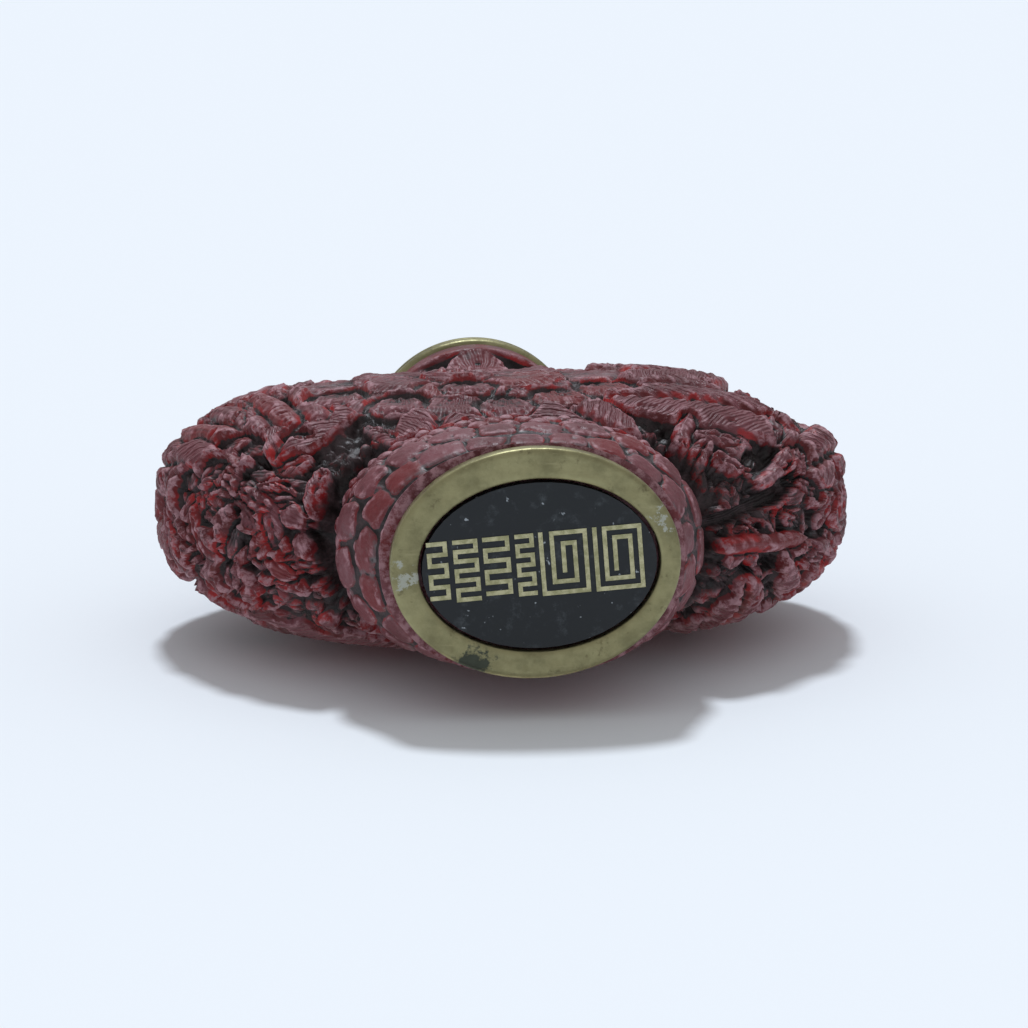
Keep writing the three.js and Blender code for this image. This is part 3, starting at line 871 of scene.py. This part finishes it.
def build_foot(material):
    """The foot, whose plates lie close together and whose ledge is cut deeper between its beads."""
    size = GRIDS["foot"]
    rows = even_rows(lambda z: (foot_share(z) * 10, z), BODY_LOW[2], FOOT["end"] - 0.3, size["rows"])
    grid = Grid(foot_radius, rows, size["columns"])
    grid.lay_ground(size["knobs"])
    grid.height = lerp(1.45, 0.9, smooth(grid.z, 6, 11)) + 0.6 * grid.height
    grid.lay(foot_motifs())
    grid.wear()
    border = 1 - smooth(grid.z, BODY_LOW[2], BODY_LOW[2] + 0.8)
    grid.height = lerp(grid.height, RELIEF, border)
    grid.carve(FOOT_RELIEF)
    grid.keep_inside(BODY_LOW, BODY_HIGH)
    show("foot_carving", grid.mesh("foot_carving"), material, "flask_body")


def build_neck(material):
    size = GRIDS["neck"]
    grid = Grid(round_neck, np.linspace(size["low"], NECK["top"], size["rows"]), size["columns"])
    grid.lay_ground(size["knobs"])
    grid.height *= 0.5
    grid.lay(neck_motifs())
    grid.wear()
    lip = smooth(grid.z, NECK["lip"] - 1.5, NECK["lip"])
    grid.height = lerp(grid.height, RELIEF, lip)
    grid.carve(NECK_RELIEF)
    grid.keep_inside(BODY_LOW, BODY_HIGH)
    show("neck_carving", grid.mesh("neck_carving"), material, "flask_body")


# ---- The stopper, the brass fittings and the plate under the foot ----


def cap_radius(angle, z):
    t = np.clip((z - CAP_LOW[2]) / (CAP_HIGH[2] - CAP_LOW[2]), 0, 1)
    return CAP_HIGH[0] * np.maximum(1 - t * t, 1e-5) ** 0.4 + 0 * angle


CAP_PETALS = 8
CAP_RELIEF = 1.0
CAP_RINGS = (
    {"shift": 0, "low": 0.05, "high": 0.62, "level": 2.2},
    {"shift": 0.5, "low": 0.3, "high": 0.86, "level": 2.5},
)


def petal_ring(grid, climb, shift, low, high, level):
    """A ring of petals round the cap, from one share of the way up its side to another."""
    round_it = (grid.angle / (2 * math.pi) * CAP_PETALS + shift) % 1
    u, v = (climb - low) / (high - low), (2 * round_it - 1) / np.cos(0.9 * np.clip(climb, 0, 1))
    held = np.flatnonzero((u > 0) & (u < 1) & (np.abs(v) < 1))
    form = {"level": level, "cup": 0.3, "drop": -0.3, "half_width": 4}
    cover, top, grain = petal(0.5 * u[held] + 0.5, v[held], form)
    grid.height[held] = lerp(grid.height[held], np.clip(top, 0, RELIEF), cover)
    grid.grain[held] = grain


def build_cap(material):
    size = GRIDS["cap"]
    rows = even_rows(lambda z: (cap_radius(0, z), z), CAP_LOW[2], CAP_HIGH[2] - 0.01, size["rows"])
    grid = Grid(cap_radius, rows, size["columns"])
    climb = np.repeat(np.linspace(0, 1, size["rows"]), size["columns"])
    grid.lay_ground(size["knobs"])
    for ring in CAP_RINGS:
        petal_ring(grid, climb, **ring)
    grid.wear()
    border, button = 1 - smooth(climb, 0.03, 0.07), smooth(climb, 0.84, 0.9)
    grid.height = lerp(grid.height, RELIEF, np.maximum(border, button))
    grid.carve(CAP_RELIEF)
    grid.keep_inside(CAP_LOW, CAP_HIGH)
    show("cap_carving", grid.mesh("cap_carving"), material, "stopper_cap")


def oval(half_x, half_y, angle, centre=(0, 0)):
    """Points of an oval in the foot's turned frame."""
    x = centre[0] + half_x * np.cos(angle)
    y = centre[1] + half_y * np.sin(angle)
    turn = RIM["turn"]
    return np.stack([x * np.cos(turn) - y * np.sin(turn), x * np.sin(turn) + y * np.cos(turn)], axis=-1)


def ring_section(top, bevel, steps):
    """Pairs (share of the way inwards, z) round a ring's section, from its inner edge underneath."""
    face = [(share, 0.0) for share in np.linspace(1 - 2 * bevel, 2 * bevel, steps)]
    corner = [(bevel, 0.04), (0.35 * bevel, 0.12), (0.0, 0.3)]
    back = [(0.0, top - 0.1), (0.1, top), (0.9, top), (1.0, top - 0.1)]
    return face + corner + back + [(1.0, 0.26), (1 - 0.3 * bevel, 0.1), (1 - bevel, 0.03)]


RIM_COLUMNS = 360
RIM_BEVEL = 0.1  # as a share of the ring's width
DENTS = {"cell": 1.3, "depth": 0.06}
COLLAR_COLUMNS = 240


def full_turn(columns):
    return np.arange(columns) * 2 * math.pi / columns


# Spots on the ring's underside: x, y and reach.
CORRODED = ((-10.7, 0.9, 0.9), (10.6, -3.6, 0.7))
DIRTY = ((-5.2, 8.3, 1.8),)


def build_rim(material):
    columns = RIM_COLUMNS
    angle = full_turn(columns)
    outer = oval(RIM["half_width"], RIM["half_depth"], angle)
    inner = oval(RIM["window_half_width"], RIM["window_half_depth"], angle, RIM["window"])
    section = ring_section(RIM_HIGH[2], RIM_BEVEL, 12)
    rings = []
    for share, z in section:
        flat = lerp(outer, inner, share)
        rings.append(np.column_stack([flat, np.full(columns, z)]))
    points = np.array(rings)
    dents = value_noise(points.reshape(-1, 3), DENTS["cell"]).reshape(len(section), columns)
    underside = points[:, :, 2] < 0.2
    points[:, :, 2] += DENTS["depth"] * dents * underside
    points = np.clip(points, RIM_LOW, RIM_HIGH)
    mesh = make_mesh("foot_ring", points, len(section), columns, closed=True)
    show("foot_ring", mesh, material, "foot_rim")


def build_collar(material):
    columns, radius = COLLAR_COLUMNS, COLLAR_HIGH[0]
    low, high = COLLAR_LOW[2], COLLAR_HIGH[2]
    middle = (low + high) / 2
    profile = [
        (NECK["bore"], low), (radius - 0.6, low), (radius - 0.2, low + 0.12), (radius, low + 0.4),
        (radius, middle - 0.35), (radius - 0.25, middle), (radius, middle + 0.35), (radius, high - 0.4),
        (radius - 0.2, high - 0.12), (radius - 0.6, high), (NECK["bore"], high),
    ]
    angle = full_turn(columns)
    rings = []
    for r, z in profile:
        rings.append(np.column_stack([r * np.cos(angle), r * np.sin(angle), np.full(columns, z)]))
    points = np.clip(np.array(rings), COLLAR_LOW, COLLAR_HIGH)
    mesh = make_mesh("collar", points, len(profile), columns, closed=True)
    show("collar", mesh, material, "mouth_collar")


# The mark on the plate: six blocks of square key fret, which isn't writing.

MARK = {
    "blocks": (1.8, 2.1, 2.3, 1.6, 4.1, 4.1), "gap": 0.36, "height": 5.4, "stroke": 0.36, "turn": 4.1,
    "middle": (0.2, 0.1), "pitches": (0.9, 0.8), "coil_from": 3,
    "proud": 0.07, "sunk": 0.02, "crossing": 0.012,
}


def fret_strokes(width, height, pitch):
    """Centre lines (x0, y0, x1, y1) of a key fret that winds up a block, in the block's frame."""
    right, strokes, y, side = width - pitch / 2, [], 0.0, 1
    while y < height - pitch * 0.6:
        strokes.append((0, y, right, y))
        if y + pitch < height:
            x = right if side > 0 else 0
            strokes.append((x, y, x, y + pitch))
        y, side = y + pitch, -side
    return strokes


def coil_strokes(width, height, pitch):
    """Centre lines of a square coil that winds inwards."""
    x0, y0, x1, y1 = 0, 0, width - pitch / 2, height - pitch / 2
    strokes = [(x0, y0, x0, y1)]
    while x1 - x0 > pitch * 0.9 and y1 - y0 > pitch * 0.9:
        strokes.append((x0, y1, x1, y1))
        strokes.append((x1, y1, x1, y0))
        strokes.append((x1, y0, x0 + pitch, y0))
        x0, y0, x1, y1 = x0 + pitch, y0 + pitch, x1 - pitch, y1 - pitch
        strokes.append((x0, y0 - pitch, x0, y1))
    return strokes


def build_mark(material):
    widths, gap = MARK["blocks"], MARK["gap"]
    x = -(sum(widths) + gap * (len(widths) - 1)) / 2
    y = (MARK["stroke"] - MARK["height"]) / 2
    corners, faces = [], []
    for k, width in enumerate(widths):
        make_strokes = coil_strokes if width > MARK["coil_from"] else fret_strokes
        for x0, y0, x1, y1 in make_strokes(width, MARK["height"], MARK["pitches"][k % 2]):
            add_stroke(corners, faces, x + x0, y + y0, x + x1, y + y1)
        x += width + gap
    turned = turned_mark(np.array(corners))
    mesh = bpy.data.meshes.new("plate_mark")
    mesh.from_pydata((turned * MM).tolist(), [], faces)
    show("plate_mark", mesh, material, None)


def add_stroke(corners, faces, x0, y0, x1, y1):
    """A thin box along a stroke's centre line. Two that meet overlap, at slightly different heights."""
    half = MARK["stroke"] / 2
    low_x, high_x = min(x0, x1) - half, max(x0, x1) + half
    low_y, high_y = min(y0, y1) - half, max(y0, y1) + half
    first = len(corners)
    level = PLATE_LOW[2] + (MARK["crossing"] if x0 == x1 else 0)
    for z in (level - MARK["proud"], level + MARK["sunk"]):
        corners += [(low_x, low_y, z), (high_x, low_y, z), (high_x, high_y, z), (low_x, high_y, z)]
    for a, b, c, d in ((0, 3, 2, 1), (4, 5, 6, 7), (0, 1, 5, 4), (1, 2, 6, 5), (2, 3, 7, 6), (3, 0, 4, 7)):
        faces.append((first + a, first + b, first + c, first + d))


def turned_mark(points):
    """The row rises to the right as the plate is seen, from below with the front upwards."""
    turn = math.radians(-MARK["turn"])
    x = points[:, 0] * math.cos(turn) - points[:, 1] * math.sin(turn) + MARK["middle"][0]
    y = points[:, 0] * math.sin(turn) + points[:, 1] * math.cos(turn) + MARK["middle"][1]
    return np.column_stack([x, y, points[:, 2]])


# ---- Camera, lights and ground ----

CAMERA = {"place": (-28.34, -57.03, -304.44), "aim": (-1.80, -4.23, 0), "lens": 132.9, "roll": 0.46}
GROUND_REACH = 1500
OVERHEAD = {"direction": (0, 1, -0.42), "energy": 2.15, "hue": (0.85, 0.92, 1.0), "angle": 8}
BOUNCE = {"direction": (0.2, -1, -0.1), "energy": 0.55, "hue": (1.0, 0.98, 0.97), "angle": 60}
WORLD = {"seen": (0.81, 0.87, 0.955, 1), "lit": (0.53, 0.53, 0.545, 1)}


def set_camera():
    camera = bpy.data.objects.new("camera", bpy.data.cameras.new("camera"))
    bpy.context.scene.collection.objects.link(camera)
    place = Vector(CAMERA["place"]) * MM
    forward = (Vector(CAMERA["aim"]) * MM - place).normalized()
    right = forward.cross(Vector((0, -1, 0))).normalized()
    up = right.cross(forward)
    turn = Matrix.Rotation(math.radians(CAMERA["roll"]), 3, forward)
    axes = Matrix((turn @ right, turn @ up, -forward)).transposed()
    camera.matrix_world = Matrix.Translation(place) @ axes.to_4x4()
    camera.data.lens = CAMERA["lens"]
    camera.data.sensor_width = 36
    camera.data.clip_start = 0.01
    camera.data.clip_end = 20
    bpy.context.scene.camera = camera


def set_ground():
    """The bottle lies on its back: the ground touches its belly and the mouth collar."""
    belly = Vector((0, BODY_HIGH[1], FLASK["depth_mid"]))
    mouth = Vector((0, COLLAR_HIGH[1], COLLAR_HIGH[2]))
    along = (mouth - belly).normalized()
    across = Vector((1, 0, 0))
    corners = []
    for x, z in ((-1, -1), (1, -1), (1, 1), (-1, 1)):
        corners.append((belly + (across * x + along * z) * GROUND_REACH) * MM)
    mesh = bpy.data.meshes.new("ground")
    mesh.from_pydata(corners, [], [(0, 1, 2, 3)])
    ground = bpy.data.objects.new("ground", mesh)
    bpy.context.scene.collection.objects.link(ground)
    mesh.materials.append(pale_ground("pale_ground"))


def pale_ground(name):
    """A matt ground with one side. From underneath it is clear, so that the back can be looked at."""
    s = Surface(name)
    s.set(base_color=(0.80, 0.83, 0.86, 1), roughness=0.9, specular_ior_level=0.1)
    clear = s.add("ShaderNodeBsdfTransparent").outputs["BSDF"]
    mixed = s.add("ShaderNodeMixShader")
    s.feed(mixed.inputs["Fac"], s.add("ShaderNodeNewGeometry").outputs["Backfacing"])
    s.feed(mixed.inputs[1], s.shader.outputs["BSDF"])
    s.feed(mixed.inputs[2], clear)
    s.feed(s.tree.nodes["Material Output"].inputs["Surface"], mixed.outputs["Shader"])
    return s.material


def make_sun(name, direction, energy, hue, angle):
    lamp = bpy.data.lights.new(name, "SUN")
    lamp.energy = energy
    lamp.color = hue
    lamp.angle = math.radians(angle)
    sun = bpy.data.objects.new(name, lamp)
    sun.rotation_euler = Vector(direction).to_track_quat("-Z", "Z").to_euler()
    bpy.context.scene.collection.objects.link(sun)
    return sun


def light_underside():
    """Weak light through the ground, on the bottle alone, so that its back isn't black."""
    bottle = bpy.data.collections.new("bottle")
    for piece in bpy.context.scene.objects:
        if piece.type == "MESH" and piece.name != "ground":
            bottle.objects.link(piece)
    sun = make_sun("bounce", **BOUNCE)
    sun.light_linking.receiver_collection = bottle
    sun.light_linking.blocker_collection = bottle


def set_lights():
    """A soft sun overhead, and a world that is paler to the camera than the light it gives."""
    world = bpy.data.worlds.new("world")
    world.use_nodes = True
    nodes, links = world.node_tree.nodes, world.node_tree.links
    seen, lit = nodes["Background"], nodes.new("ShaderNodeBackground")
    seen.inputs["Color"].default_value = WORLD["seen"]
    lit.inputs["Color"].default_value = WORLD["lit"]
    mix, path = nodes.new("ShaderNodeMixShader"), nodes.new("ShaderNodeLightPath")
    links.new(path.outputs["Is Camera Ray"], mix.inputs["Fac"])
    links.new(lit.outputs["Background"], mix.inputs[1])
    links.new(seen.outputs["Background"], mix.inputs[2])
    links.new(mix.outputs["Shader"], nodes["World Output"].inputs["Surface"])
    bpy.context.scene.world = world
    make_sun("overhead", **OVERHEAD)
    bpy.context.scene.view_settings.view_transform = "Standard"


set_camera()
set_ground()
set_lights()

red = lacquer("carved_lacquer")
build_flask(red)
build_foot(red)
build_neck(red)

build_cap(lacquer("stopper_lacquer"))
build_rim(old_brass("foot_brass", CORRODED, DIRTY))
build_collar(old_brass("mouth_brass"))
build_mark(worn_gold("worn_gold"))
for node, material in (("base_plate", black_stone("black_plate")), ("stopper_plug", cork("cork"))):
    mesh = frame["nodes"][node].data
    mesh.materials.clear()
    mesh.materials.append(material)

light_underside()
